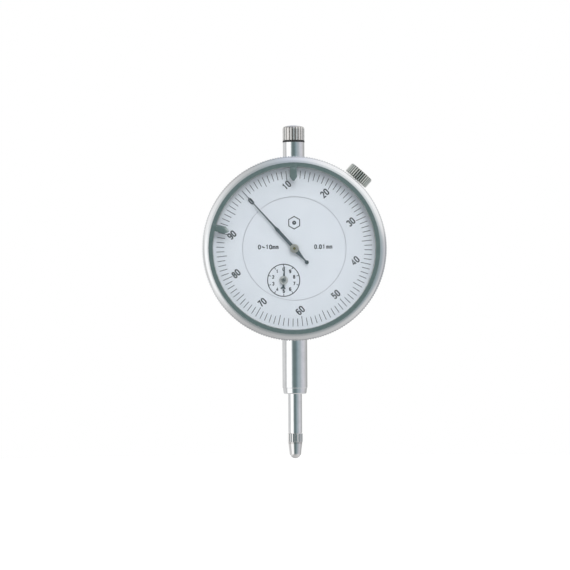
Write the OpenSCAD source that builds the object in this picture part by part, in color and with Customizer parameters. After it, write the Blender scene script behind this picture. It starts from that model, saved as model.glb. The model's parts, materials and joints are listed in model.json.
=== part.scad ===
// Dial indicator, 0 to 10 mm in steps of 0.01 mm, with a plain stem and a lug back.
// Row frame: +Z runs up the spindle and the dial faces -Y. The origin is the middle of the
// stem's straight length, on the stem's axis.
// Dial frame, used inside at_dial(): x to the right, y up, z towards the reader, with the
// origin where the spindle's axis passes behind the dial's centre.

/* [Bezel and dial] */
// Outer diameter of the knurled bezel
bezel_d = 58.7; // [58.4:0.1:60]
// Teeth of the bezel's knurl
bezel_teeth = 220; // [160:4:240]
// Diameter of the fixed inner dial
inner_dial_d = 32.8; // [32:0.1:33.2]
// Where the main pointer stands, clockwise from the top
pointer_angle = -41.9; // [-180:0.1:180]
// Where the small pointer stands, clockwise from the top
counter_angle = 4; // [-20:1:20]
// Where the first tolerance marker stands, clockwise from the top
marker_a_angle = -0.4; // [-20:0.1:60]
// Where the second tolerance marker stands, clockwise from the top
marker_b_angle = -75.2; // [-120:0.1:-40]

/* [Case] */
// Outer diameter of the case drum
case_d = 53; // [52.6:0.1:53.4]
// Inner diameter of the drum, round the movement
cavity_d = 45; // [44:0.5:45.4]
// Where the bezel clamp stands, clockwise from the top
clamp_angle = 41.7; // [38:0.1:52]

/* [Stem and spindle] */
// Diameter of the clamping stem
stem_d = 8; // [7.6:0.1:9.6]
// Length of the stem's straight part below the case
stem_length = 17; // [14:0.5:18]
// Diameter of the spindle
spindle_d = 4.4; // [4.3:0.05:4.5]
// Travel of the spindle
travel = 10; // [6:1:10]

/* [Lug] */
// Diameter of the hole in the lug
lug_hole_d = 6.5; // [5:0.1:7]
// Thickness of the lug, along the hole
lug_thickness = 5; // [4:0.5:6]
// Distance from the cover's outer face to the hole's axis
lug_reach = 7; // [7:0.5:10]

/* [Hidden] */
$fn = 72;

// Gaps: between pieces of one body, between sliding or turning pieces, and past cut faces
fit = 0.01;
running = 0.05;
past = 1;

// The case, front to back, as depths in the dial frame
bezel_r = bezel_d / 2;
case_r = case_d / 2;
cavity_r = cavity_d / 2;
case_front = 8.3;
case_back = -6.2;
cover_back = -7.8;
ledge_front = 6;
ledge_back = 5;
ledge_r = 17.2;
channel_r = 23.9;
channel_floor = 3.8;
rim_r = 25.2;
wire_z = 7.3;
wire_r = 0.35;
groove_r = rim_r + wire_r;
wall_mid_r = (cavity_r + case_r) / 2;

// The stem's boss below the case, and the height of the dial's centre above the origin
boss_bottom = -27.5;
dial_z = -boss_bottom + stem_length / 2;
stem_r = stem_d / 2;
stem_straight_end = boss_bottom - stem_length;
stem_end = stem_straight_end - 2;
spigot_r = 3.7;
bushing_r = 3;
stem_boss_r = 5.2;

// The neck above the case, which guides the spindle's upper rod
neck_r = 3.46;
neck_spigot_r = 3.3;
neck_boss_top = 27.2;
neck_top = 34.25;
washer_top = 34.75;
washer_r = 3.54;
neck_boss_r = 4.8;
upper_bushing_r = 2.6;

// Spindle: heights above the dial's centre with the spindle at rest, fully out
spindle_r = spindle_d / 2;
upper_rod_r = 1.5;
rod_shoulder = 13.5;
thread_r = 1.0;
cap_bottom = washer_top + running;
cap_top = 39.8;
cap_r = 3.5;
cap_teeth = 22;
collar_top = -59;
collar_bottom = -61.95;
collar_teeth = 22;
tip_bottom = -67.35;
tip_thread_r = 1.25;

// Gear train: one turn of the rack pinion for 10 mm, and ten of the centre pinion
rack_pitch = 0.625;
gear_module = rack_pitch / PI;
rack_teeth = 16;
train_module = 0.1935;
wheel_teeth = 100;
pinion_teeth = 10;
pressure_angle = 20;
backlash = 0.08 * gear_module;
rack_pinion_pitch_r = gear_module * rack_teeth / 2;
train_distance = train_module * (wheel_teeth + pinion_teeth) / 2;
rack_line = -1.85;
counter_x = rack_line - rack_pinion_pitch_r;
counter_y = -sqrt(train_distance * train_distance - counter_x * counter_x);
counter_pos = [counter_x, counter_y];
counter_direction = atan2(counter_y, counter_x);
takeup_direction = counter_direction - 6 * 360 / pinion_teeth;
takeup_pos = train_distance * [cos(takeup_direction), sin(takeup_direction)];

// Movement plates and bridges, as depths in the dial frame
plate_back = 2.5;
plate_front = 3.3;
plate_r = 20.8;
bridge_back = 4.9;
bridge_front = 5.5;
bridge_r = 15.8;
cock_back = -4.2;
cock_front = -3.2;
wheel_back = 3.75;
wheel_front = 4.15;

// Dials and pointers, as depths in the dial frame
dial_back = 8.8;
dial_front = 9.2;
inner_dial_r = inner_dial_d / 2;
scale_inner_r = inner_dial_r + 0.12;
dial_flange_back = 8.4;
scale_outer_r = 25.75;
counter_pointer_z = 9.5;
counter_blade_h = 0.15;
counter_sleeve_r = 0.75;
main_pointer_z = 10.2;

// Bezel, crystal and markers, as depths in the dial frame
skirt_r = rim_r - 0.1;
skirt_inner_r = 24.3;
skirt_back = 3.95;
bezel_back = 8.4;
bezel_front = 13.2;
window_r = 25.8;
crystal_back = 11.4;
crystal_front = 12.4;
crystal_r = 26.75;
ring_front = 13;
ring_r = 27.15;
track_r = 26.8;
knurl_front = 11.7;

// Bezel clamp, as distances from the dial's centre along the clamp's axis
clamp_z = 5.9;
clamp_boss_end = bezel_r - 0.9;
clamp_bore_r = 1.0;
shoe_inner = 25.32;
shoe_outer = 26.5;
knob_inner = bezel_r + 0.25;
knob_outer = knob_inner + 3.15;
knob_r = 4.22;
knob_teeth = 32;

// Places of the screws, pillars and feet round the dial's centre, by angle from +x
cover_screw_angles = [45, 135, 225, 315];
movement_screw_r = 19;
movement_screw_angles = [105, 165, 300];
pillar_places = [[-12, 6], [11.5, -7.5], [-1, 14]];
dial_foot_r = 13.5;
dial_foot_angles = [195, 340, 125];
cock_pillar_places = [[-9.5, -6], [-9.5, -15]];

// Guide rail and return spring, beside the spindle
rail_x = 3;
rail_width = 2;
rail_bottom = 0;
rail_top = 18;
rail_back = -2;
rail_screw_heights = [1.5, 16.5];
guide_pin_r = 0.6;
guide_pin_height = 4;
guide_pin_end = 8.9;
spring_x = 7.4;
spring_r = 1.1;
spring_wire_r = 0.15;
spring_top = guide_pin_height - 1;
spring_bottom = -17.4;
spring_turns = 14;
spring_post_height = -18.4;

// Hairspring, a flat spiral round the take-up arbor, and the stud that its outer end is fixed to
spiral_turns = 6;
spiral_inner_r = 1.15;
spiral_outer_r = 5.2;
spiral_steps = 24 * spiral_turns;
spiral_back = 4.4;
stud_place = takeup_pos + (spiral_outer_r + 0.5) * [1, 0];

// ---------- shared shapes ----------

module at_dial() {
    translate([0, 0, dial_z]) rotate([90, 0, 0]) children();
}

module on_spindle_axis() {
    translate([0, 0, dial_z]) children();
}

// +z of the child points outwards from the dial's centre, at an angle clockwise from the top
module outwards(angle, depth) {
    translate([0, 0, depth]) rotate([0, 0, -angle]) rotate([-90, 0, 0]) children();
}

module rod(radius, from, to) {
    translate([0, 0, from]) cylinder(r = radius, h = to - from);
}

module tube(outer, inner, from, to) {
    difference() {
        rod(outer, from, to);
        rod(inner, from - past, to + past);
    }
}

module at_angles(angles, radius) {
    for (a = angles) rotate([0, 0, a]) translate([radius, 0, 0]) children();
}

module at_places(places) {
    for (p = places) translate([p[0], p[1], 0]) children();
}

// Outline of a straight knurl: flat lands with V grooves between them
function knurl_outline(teeth, radius, depth, land) = [
    for (i = [0 : teeth - 1], k = [0 : 2])
        let (
            turn = (i + [-land / 2, land / 2, 0.5][k]) * 360 / teeth,
            r = k == 2 ? radius - depth : radius
        )
        r * [cos(turn), sin(turn)]
];

// A knurled solid of revolution: profile is its outline as [radius, height] points
module knurled(profile, teeth, radius, depth, land, from, to) {
    intersection() {
        translate([0, 0, from - past])
            linear_extrude(to - from + 2 * past)
            polygon(knurl_outline(teeth, radius, depth, land));
        rotate_extrude() polygon(profile);
    }
}

// Slotted cheese-head screw with its head's underside at 0 and the shank along -z
module slotted_screw(head_r, head_h, shank_r, length, slot) {
    difference() {
        rod(head_r, 0, head_h);
        translate([-head_r - past, -slot / 2, head_h - slot])
            cube([2 * (head_r + past), slot, slot + past]);
    }
    rod(shank_r, -length, 0);
}

// ---------- gear outlines ----------

function involute(angle) = tan(angle) * 180 / PI - angle;

// Half of a tooth's width at a radius, as an angle; size is the gear's module
function half_tooth(size, teeth, radius) =
    let (
        pitch_r = size * teeth / 2,
        base_r = pitch_r * cos(pressure_angle),
        at_pitch = 90 / teeth - backlash / 2 / pitch_r * 180 / PI
    )
    at_pitch + involute(pressure_angle) - involute(acos(base_r / max(radius, base_r)));

// Gear outline with a tooth centred at the angle phase; addendum and dedendum in modules
function gear_outline(size, teeth, addendum, dedendum, phase) =
    let (
        pitch_r = size * teeth / 2,
        base_r = pitch_r * cos(pressure_angle),
        tip_r = pitch_r + addendum * size,
        root_r = pitch_r - dedendum * size,
        low_r = max(root_r, base_r),
        radii = [root_r, low_r + 0.02 * size, (low_r + tip_r) / 2, tip_r]
    )
    [
        for (i = [0 : teeth - 1], side = [-1, 1], k = [0 : 3])
            let (
                r = radii[side < 0 ? k : 3 - k],
                turn = phase + i * 360 / teeth + side * half_tooth(size, teeth, r)
            )
            r * [cos(turn), sin(turn)]
    ];

// A 100-tooth wheel with its hub and five spokes
module wheel(phase, bore_r) {
    hub_r = 1.7;
    spoke_inner_r = 3;
    spoke_outer_r = 8.4;
    spoke_w = 1.2;
    difference() {
        union() {
            translate([0, 0, wheel_back])
                linear_extrude(wheel_front - wheel_back)
                polygon(gear_outline(train_module, wheel_teeth, 0.6, 1.25, phase));
            rod(hub_r, wheel_back - 0.15, wheel_front + 0.15);
        }
        rod(bore_r, wheel_back - past, wheel_front + past);
        difference() {
            tube(spoke_outer_r, spoke_inner_r, wheel_back - past / 2, wheel_front + past / 2);
            for (i = [0 : 4])
                rotate([0, 0, phase + i * 72])
                    translate([0, -spoke_w / 2, wheel_back - past])
                    cube([cavity_r, spoke_w, 2 * past + wheel_front - wheel_back]);
        }
    }
}

// ---------- case ----------

module case_body() {
    color([0.74, 0.75, 0.76])
    at_dial()
    difference() {
        union() {
            rod(case_r, case_back, case_front);
            outwards(180, 0) rod(stem_boss_r, cavity_r, -boss_bottom);
            outwards(0, 0) rod(neck_boss_r, cavity_r, neck_boss_top);
            outwards(clamp_angle, clamp_z) rod(2.2, wall_mid_r, clamp_boss_end);
        }
        rod(cavity_r, case_back - past, ledge_back);
        rod(ledge_r, ledge_back - past, case_front + past);
        rod(rim_r, ledge_front, case_front + past);
        tube(rim_r, channel_r, channel_floor, ledge_front + past);
        tube(groove_r, channel_r, wire_z - wire_r - 0.02, wire_z + wire_r + 0.02);
        outwards(180, 0) rod(spigot_r, cavity_r - past, case_r + past * 3);
        outwards(0, 0) rod(neck_spigot_r, cavity_r - past, case_r + past * 3);
        outwards(clamp_angle, clamp_z)
            rod(clamp_bore_r, channel_r + past / 2, clamp_boss_end + past);
        at_angles(cover_screw_angles, wall_mid_r) rod(1.0, case_back - past, -2.6);
        at_angles(movement_screw_angles, movement_screw_r)
            rod(0.8, ledge_back - past, ledge_front + past);
    }
}

module stem() {
    color([0.86, 0.87, 0.88])
    on_spindle_axis()
    rotate_extrude()
        polygon([
            [bushing_r, stem_end],
            [stem_r - 0.65, stem_end],
            [stem_r - 0.45, stem_end + 0.08],
            [stem_r - 0.32, stem_end + 0.3],
            [stem_r - 0.14, stem_straight_end - 0.15],
            [stem_r, stem_straight_end],
            [stem_r, boss_bottom],
            [spigot_r - fit, boss_bottom],
            [spigot_r - fit, -cavity_r],
            [bushing_r, -cavity_r]
        ]);
}

module lower_bushing() {
    color([0.72, 0.58, 0.32])
    on_spindle_axis() tube(bushing_r - fit, spindle_r + running, stem_end + 0.4, stem_end + 10.4);
}

module neck_sleeve() {
    color([0.86, 0.87, 0.88])
    on_spindle_axis()
    difference() {
        union() {
            rod(neck_r, neck_boss_top, neck_top);
            rod(neck_spigot_r - fit, cavity_r, neck_boss_top);
        }
        rod(upper_bushing_r, cavity_r - past, neck_top + past);
    }
}

module upper_bushing() {
    color([0.72, 0.58, 0.32])
    on_spindle_axis()
        tube(upper_bushing_r - fit, upper_rod_r + running, cavity_r + 2, neck_top - 0.3);
}

module stop_washer() {
    color([0.1, 0.1, 0.1])
    on_spindle_axis() tube(washer_r, upper_rod_r + 0.3, neck_top, washer_top);
}

module back_cover() {
    lug_r = 6.2;
    spigot_inner_r = cavity_r - 1.5;
    hole_z = cover_back - lug_reach;
    color([0.74, 0.75, 0.76])
    at_dial()
    difference() {
        union() {
            rod(case_r - 0.4, cover_back, cover_back + 0.4);
            rod(case_r, cover_back + 0.4, case_back);
            tube(cavity_r - fit, spigot_inner_r, case_back - 0.2, case_back + 0.8);
            translate([-lug_thickness / 2, -lug_r, hole_z])
                cube([lug_thickness, 2 * lug_r, cover_back - hole_z + 0.2]);
            translate([-lug_thickness / 2, 0, hole_z])
                rotate([0, 90, 0]) cylinder(r = lug_r, h = lug_thickness);
        }
        at_angles(cover_screw_angles, wall_mid_r) rod(1.15, cover_back - past, case_back + past);
        translate([-lug_thickness, 0, hole_z])
            rotate([0, 90, 0]) cylinder(d = lug_hole_d, h = 2 * lug_thickness);
    }
}

module cover_screws() {
    color([0.6, 0.6, 0.6])
    at_dial()
    at_angles(cover_screw_angles, wall_mid_r)
        translate([0, 0, cover_back]) rotate([180, 0, 0])
        slotted_screw(1.8, 1.1, 1.0 - fit, 4.6, 0.5);
}

module bezel_spring_ring() {
    color([0.5, 0.5, 0.52])
    at_dial()
    translate([0, 0, wire_z])
        rotate([0, 0, 110])
        rotate_extrude(angle = 320)
        translate([skirt_r + 0.05, 0]) circle(r = wire_r);
}

// ---------- movement frame ----------

module movement_plate() {
    color([0.8, 0.68, 0.38])
    at_dial()
    difference() {
        rod(plate_r, plate_back, plate_front);
        rod(1.0, plate_back - past, plate_front + past);
        at_places([counter_pos]) rod(1.3, plate_back - past, plate_front + past);
        at_places([takeup_pos]) rod(1.0, plate_back - past, plate_front + past);
        at_angles(movement_screw_angles, movement_screw_r)
            rod(0.9, plate_back - past, plate_front + past);
        at_places(pillar_places) rod(0.7, plate_back - past, plate_front + past);
        at_places(cock_pillar_places) rod(0.7, plate_back - past, plate_front + past);
        at_places([for (y = rail_screw_heights) [rail_x + rail_width / 2, y]])
            rod(0.6, plate_back - past, plate_front + past);
        at_places([[spring_x, spring_post_height]])
            rod(0.6, plate_back - past, plate_front + past);
    }
}

// The screws hold the plate against three spacing tubes under the case's ledge
module movement_screws() {
    color([0.6, 0.6, 0.6])
    at_dial()
    at_angles(movement_screw_angles, movement_screw_r)
        translate([0, 0, plate_back]) rotate([180, 0, 0])
        slotted_screw(1.5, 0.7, 0.8 - fit, ledge_front - plate_back - 0.2, 0.35);
}

module movement_spacers() {
    color([0.72, 0.58, 0.32])
    at_dial()
    at_angles(movement_screw_angles, movement_screw_r)
        tube(1.6, 0.85, plate_front, ledge_back);
}

module bridge_pillars() {
    color([0.72, 0.58, 0.32])
    at_dial()
    at_places(pillar_places) {
        tube(1.2, 0.6, plate_front, bridge_back);
        tube(0.7 - fit, 0.6, plate_back, plate_front);
    }
}

module front_bridge() {
    color([0.8, 0.68, 0.38])
    at_dial()
    difference() {
        rod(bridge_r, bridge_back, bridge_front);
        rod(1.1, bridge_back - past, bridge_front + past);
        at_places([counter_pos]) rod(1.1, bridge_back - past, bridge_front + past);
        at_places([takeup_pos]) rod(1.0, bridge_back - past, bridge_front + past);
        at_places(pillar_places) rod(0.65, bridge_back - past, bridge_front + past);
        at_places([stud_place]) rod(0.3, bridge_back - past, bridge_front + past);
        at_angles(dial_foot_angles, dial_foot_r) rod(0.5, bridge_back - past, bridge_front + past);
    }
}

module bridge_screws() {
    color([0.6, 0.6, 0.6])
    at_dial()
    at_places(pillar_places)
        translate([0, 0, bridge_front])
        slotted_screw(1.3, 0.6, 0.6 - fit, bridge_front - plate_back - 0.2, 0.3);
}

module rear_cock() {
    color([0.8, 0.68, 0.38])
    at_dial()
    difference() {
        translate([0, 0, cock_back])
            linear_extrude(cock_front - cock_back)
            union() {
                at_places(concat(cock_pillar_places, [counter_pos])) circle(r = 1.7);
                polygon(concat(cock_pillar_places, [counter_pos]));
                for (p = cock_pillar_places) bar_2d(p, counter_pos, 2.4);
            }
        at_places([counter_pos]) rod(1.0, cock_back - past, cock_front + past);
        at_places(cock_pillar_places) rod(0.65, cock_back - past, cock_front + past);
    }
}

module bar_2d(from, to, width) {
    span = to - from;
    translate(from)
        rotate(atan2(span[1], span[0]))
        translate([0, -width / 2])
        square([norm(span), width]);
}

module cock_pillars() {
    color([0.72, 0.58, 0.32])
    at_dial()
    at_places(cock_pillar_places) {
        tube(1.3, 0.6, cock_front, plate_back);
        tube(0.7 - fit, 0.6, plate_back, plate_front);
    }
}

module cock_screws() {
    color([0.6, 0.6, 0.6])
    at_dial()
    at_places(cock_pillar_places)
        translate([0, 0, cock_back]) rotate([180, 0, 0])
        slotted_screw(1.3, 0.6, 0.6 - fit, plate_front - cock_back - 0.2, 0.3);
}

module arbor_bushes() {
    color([0.85, 0.65, 0.3])
    at_dial() {
        tube(1.0 - fit, 0.3 + running / 2, plate_back, plate_front);
        tube(1.1 - fit, 0.5 + running / 2, bridge_back, bridge_front);
        at_places([counter_pos]) {
            tube(1.0 - fit, 0.35 + running / 2, cock_back, cock_front);
            tube(1.3 - fit, 0.6 + running / 2, plate_back, plate_front);
            tube(1.1 - fit, 0.5 + running / 2, bridge_back, bridge_front);
        }
        at_places([takeup_pos]) {
            tube(1.0 - fit, 0.3 + running / 2, plate_back, plate_front);
            tube(1.0 - fit, 0.3 + running / 2, bridge_back, bridge_front);
        }
    }
}

// The slot lets the guide pin travel but keeps the spindle from turning
module guide_rail() {
    slot_half = guide_pin_r + running;
    color([0.8, 0.68, 0.38])
    at_dial()
    difference() {
        translate([rail_x, rail_bottom, rail_back])
            cube([rail_width, rail_top - rail_bottom, plate_back - rail_back]);
        translate([rail_x - past, guide_pin_height - slot_half - 0.1, -slot_half])
            cube([rail_width + 2 * past, travel + 2 * slot_half + 0.2, 2 * slot_half]);
        at_places([for (y = rail_screw_heights) [rail_x + rail_width / 2, y]])
            rod(0.6, rail_back - past, plate_back + past);
    }
}

module rail_screws() {
    color([0.6, 0.6, 0.6])
    at_dial()
    at_places([for (y = rail_screw_heights) [rail_x + rail_width / 2, y]])
        translate([0, 0, rail_back]) rotate([180, 0, 0])
        slotted_screw(0.95, 0.5, 0.6 - fit, plate_front - rail_back - 0.2, 0.3);
}

module spring_post() {
    color([0.72, 0.58, 0.32])
    at_dial()
    at_places([[spring_x, spring_post_height]]) {
        rod(0.6, -1.2, plate_back);
        rod(1.0, 1.2, plate_back);
        rod(0.9, -1.4, -0.9);
        rod(0.6 - fit, plate_back, plate_front);
    }
}

// Closed tube round a coil, standing along +y of the dial frame
function coil_point(t) = [
    spring_x + spring_r * cos(360 * spring_turns * t),
    spring_bottom + (spring_top - spring_bottom) * t,
    spring_r * sin(360 * spring_turns * t)
];

function coil_ring(t, sides) =
    let (
        turn = 360 * spring_turns * t,
        out = [cos(turn), 0, sin(turn)]
    )
    [
        for (j = [0 : sides - 1])
            let (a = 360 * j / sides)
            coil_point(t) + spring_wire_r * (cos(a) * out + sin(a) * [0, 1, 0])
    ];

module coil_spring() {
    sides = 6;
    steps = 12 * spring_turns;
    last = steps * sides;
    points = [for (i = [0 : steps]) each coil_ring(i / steps, sides)];
    walls = [
        for (i = [0 : steps - 1], j = [0 : sides - 1])
            let (next = (j + 1) % sides)
            [i * sides + j, (i + 1) * sides + j, (i + 1) * sides + next, i * sides + next]
    ];
    polyhedron(
        points,
        concat(
            walls,
            [[for (j = [0 : sides - 1]) j]],
            [[for (j = [sides - 1 : -1 : 0]) last + j]]
        ),
        convexity = 10
    );
}

module return_spring() {
    color([0.45, 0.46, 0.48])
    at_dial() coil_spring();
}

// Flat spiral behind the front bridge, from the take-up arbor's collet to its stud
function spiral_point(t, side) =
    let (r = spiral_inner_r + (spiral_outer_r - spiral_inner_r) * t + side * 0.05)
    r * [cos(360 * spiral_turns * t), sin(360 * spiral_turns * t)];

module hairspring() {
    color([0.35, 0.42, 0.6])
    at_dial()
    at_places([takeup_pos])
        translate([0, 0, spiral_back])
        linear_extrude(0.3)
        polygon(concat(
            [for (i = [0 : spiral_steps]) spiral_point(i / spiral_steps, 1)],
            [for (i = [spiral_steps : -1 : 0]) spiral_point(i / spiral_steps, -1)]
        ));
}

module hairspring_stud() {
    color([0.72, 0.58, 0.32])
    at_dial()
    at_places([stud_place]) {
        rod(0.44, spiral_back - 0.05, bridge_back);
        rod(0.3 - fit, bridge_back, bridge_front);
    }
}

// The flange closes the gap round the fixed dial from behind
module inner_dial() {
    color([0.87, 0.88, 0.91])
    at_dial()
    difference() {
        union() {
            rod(inner_dial_r, dial_flange_back, dial_front);
            rod(inner_dial_r + 0.5, dial_flange_back, dial_flange_back + 0.25);
        }
        rod(1.1, dial_flange_back - past, dial_front + past);
        at_places([counter_pos]) rod(0.9, dial_flange_back - past, dial_front + past);
    }
}

module dial_feet() {
    color([0.72, 0.58, 0.32])
    at_dial()
    at_angles(dial_foot_angles, dial_foot_r) {
        rod(0.9, bridge_front, dial_flange_back);
        rod(0.5 - fit, bridge_back, bridge_front);
    }
}

// ---------- bezel and markers ----------

module bezel() {
    groove_floor_r = skirt_r - wire_r - 0.05;
    shoulder_r = bezel_r - 0.45;
    lip_r = ring_r + 0.05;
    crown_back = knurl_front + 0.15;
    crown_end = 70;
    crown_rx = (shoulder_r - lip_r) / (1 - cos(crown_end));
    crown_ry = (bezel_front - crown_back) / sin(crown_end);
    crown_steps = 8;
    crown = [
        for (i = [0 : crown_steps])
            let (a = crown_end * i / crown_steps)
            [
                shoulder_r - crown_rx * (1 - cos(a)),
                crown_back + crown_ry * sin(a)
            ]
    ];
    profile = concat(
        [
            [skirt_inner_r, skirt_back],
            [skirt_r, skirt_back],
            [skirt_r, wire_z - wire_r - 0.1],
            [groove_floor_r, wire_z - wire_r - 0.1],
            [groove_floor_r, wire_z + wire_r + 0.1],
            [skirt_r, wire_z + wire_r + 0.1],
            [skirt_r, bezel_back],
            [bezel_r - 0.5, bezel_back],
            [bezel_r, bezel_back + 0.4],
            [bezel_r, knurl_front - 0.2],
            [shoulder_r + 0.05, knurl_front]
        ],
        crown,
        [
            [ring_r, bezel_front],
            [ring_r, crystal_front],
            [crystal_r + 0.05, crystal_front],
            [crystal_r + 0.05, crystal_back],
            [window_r, crystal_back],
            [window_r, dial_back],
            [skirt_inner_r, dial_back]
        ]
    );
    color([0.8, 0.81, 0.83])
    at_dial()
    difference() {
        rotate_extrude() polygon(profile);
        translate([0, 0, bezel_back - past])
            linear_extrude(knurl_front - bezel_back + past)
            difference() {
                circle(r = bezel_r + past);
                polygon(knurl_outline(bezel_teeth, bezel_r, 0.35, 0.25));
            }
    }
}

module scale_ring() {
    color([0.8, 0.82, 0.86])
    at_dial() tube(scale_outer_r, scale_inner_r, dial_back, dial_front);
}

module crystal() {
    color([0.85, 0.92, 0.95, 0.35])
    at_dial() rod(crystal_r, crystal_back, crystal_front);
}

// The ring holds the crystal, and a track round its outside carries the markers
module crystal_ring() {
    color([0.4, 0.48, 0.47])
    at_dial()
    rotate_extrude()
        polygon([
            [window_r, crystal_front],
            [ring_r - fit, crystal_front],
            [ring_r - fit, crystal_front + 0.2],
            [track_r, crystal_front + 0.2],
            [track_r, ring_front],
            [window_r + 0.06, ring_front],
            [window_r, ring_front - 0.06]
        ]);
}

// A bent strip: foot in the track, flange over the ring, blade just above the crystal
module tolerance_marker(angle) {
    blade_back = crystal_front + 0.2;
    blade_front = blade_back + 0.22;
    flange_back = ring_front + 0.03;
    flange_front = ring_front + 0.25;
    step_r = window_r - 0.1;
    foot_outer_r = ring_r - 0.06;
    foot_inner_r = track_r + 0.05;
    blade_inner_r = 15;
    tip_r = 0.5;
    tip_centre = 21.35 + tip_r;
    shoulder_y = 22.7;
    tip_arc = [
        for (i = [0 : 6])
            let (a = -55 + 110 * i / 6)
            [tip_r * sin(a), tip_centre - tip_r * cos(a)]
    ];
    color([0.42, 0.5, 0.49])
    at_dial()
    rotate([0, 0, -angle])
    intersection() {
        translate([0, 0, blade_back])
            linear_extrude(flange_front - blade_back)
            polygon(concat([[-1.05, 28], [-1.17, shoulder_y]], tip_arc, [[1.17, shoulder_y], [1.05, 28]]));
        union() {
            tube(step_r, blade_inner_r, blade_back, blade_front);
            tube(step_r, step_r - 0.3, blade_back, flange_front);
            tube(foot_outer_r, step_r - 0.3, flange_back, flange_front);
            tube(foot_outer_r, foot_inner_r, crystal_front + 0.3, flange_front);
        }
    }
}

module tolerance_marker_a() {
    tolerance_marker(marker_a_angle);
}

module tolerance_marker_b() {
    tolerance_marker(marker_b_angle);
}

// ---------- spindle ----------

// Straight rack: the outline of what is cut away beside its teeth, seen along the dial's z
function rack_cut_outline() =
    let (
        tip_x = rack_line - 0.9 * gear_module,
        root_x = rack_line + 1.25 * gear_module,
        gap_at_line = rack_pitch / 2 + backlash,
        tip_half = gap_at_line / 2 + 0.9 * gear_module * tan(pressure_angle),
        root_half = gap_at_line / 2 - 1.25 * gear_module * tan(pressure_angle),
        above = 3,
        below = ceil(travel / rack_pitch) + 3
    )
    concat(
        [[-spindle_r - past, counter_y + (above + 0.6) * rack_pitch],
         [tip_x, counter_y + (above + 0.6) * rack_pitch]],
        [
            for (i = [0 : above + below], k = [0 : 3])
                let (y = counter_y + (above - i) * rack_pitch)
                [
                    k == 0 || k == 3 ? tip_x : root_x,
                    y + [tip_half, root_half, -root_half, -tip_half][k]
                ]
        ],
        [[tip_x, counter_y - (below + 0.6) * rack_pitch],
         [-spindle_r - past, counter_y - (below + 0.6) * rack_pitch]]
    );

module spindle() {
    color([0.88, 0.89, 0.9])
    difference() {
        on_spindle_axis()
        difference() {
            union() {
                rod(spindle_r, collar_top, rod_shoulder);
                rod(upper_rod_r, rod_shoulder, cap_bottom);
                rod(thread_r, cap_bottom, cap_top - 1);
            }
            rod(tip_thread_r, collar_top - past, collar_top + 5.5);
        }
        at_dial() {
            translate([0, 0, -2 * spindle_r])
                linear_extrude(4 * spindle_r)
                polygon(rack_cut_outline());
            translate([0.6, guide_pin_height, 0])
                rotate([0, 90, 0]) cylinder(r = guide_pin_r, h = 2 * spindle_r);
        }
    }
}

module contact_point() {
    ball_r = 1.82;
    ball_height = tip_bottom + ball_r;
    collar_r = spindle_r + 0.17;
    neck_in_r = spindle_r - 0.15;
    arc_steps = 10;
    tip_arc = [
        for (i = [0 : arc_steps])
            let (a = -90 + 82 * i / arc_steps)
            [ball_r * cos(a), ball_height + ball_r * sin(a)]
    ];
    profile = concat(
        tip_arc,
        [
            [2.0, collar_bottom - 2],
            [collar_r - 0.12, collar_bottom],
            [collar_r - 0.05, collar_bottom],
            [collar_r, collar_bottom + 0.1],
            [collar_r, collar_top - 0.35],
            [collar_r - 0.1, collar_top - 0.25],
            [neck_in_r, collar_top - 0.25],
            [neck_in_r, collar_top],
            [tip_thread_r - fit, collar_top],
            [tip_thread_r - fit, collar_top + 5],
            [0, collar_top + 5]
        ]
    );
    color([0.8, 0.8, 0.8])
    on_spindle_axis()
    knurled(profile, collar_teeth, collar_r, 0.16, 0.5, tip_bottom, collar_top + 5);
}

// Knurled cap with a low dome on top; one of its lands faces the reader
module lifting_cap() {
    dome_edge_r = cap_r - 0.3;
    dome_h = 0.6;
    dome_r = (dome_edge_r * dome_edge_r + dome_h * dome_h) / 2 / dome_h;
    dome_steps = 6;
    dome = [
        for (i = [0 : dome_steps])
            let (r = dome_edge_r * (1 - i / dome_steps))
            [r, cap_top - dome_r + sqrt(dome_r * dome_r - r * r)]
    ];
    profile = concat(
        [
            [thread_r + fit, cap_bottom],
            [cap_r - 0.15, cap_bottom],
            [cap_r, cap_bottom + 0.15],
            [cap_r, cap_top - dome_h - 0.65],
            [cap_r - 0.07, cap_top - dome_h - 0.35]
        ],
        dome,
        [
            [0, cap_top - 1 + fit],
            [thread_r + fit, cap_top - 1 + fit]
        ]
    );
    color([0.78, 0.78, 0.77])
    on_spindle_axis()
    rotate([0, 0, 180 / cap_teeth + 1])
    knurled(profile, cap_teeth, cap_r, 0.4, 0.55, cap_bottom, cap_top);
}

module guide_pin() {
    color([0.6, 0.6, 0.6])
    at_dial()
    translate([0, guide_pin_height, 0])
        rotate([0, 90, 0])
        difference() {
            rod(guide_pin_r - fit, 0.62, guide_pin_end);
            tube(guide_pin_r + past, 0.4, spring_x - 0.25, spring_x + 0.25);
        }
}

// ---------- gear train ----------

module rack_pinion() {
    color([0.75, 0.76, 0.78])
    at_dial()
    at_places([counter_pos]) {
        rod(0.35, cock_back + 0.1, -3.1);
        rod(0.9, -3.1, -1.4);
        translate([0, 0, -1.4])
            linear_extrude(2.8)
            polygon(gear_outline(gear_module, rack_teeth, 1, 1.25, 0));
        rod(0.9, 1.4, 2.35);
        rod(0.6, 2.35, wheel_front + 0.2);
        rod(0.5, wheel_front + 0.2, counter_pointer_z + 0.45);
    }
}

module drive_gear() {
    color([0.85, 0.7, 0.35])
    at_dial()
    at_places([counter_pos]) wheel(counter_direction + 180, 0.6 + fit);
}

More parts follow.
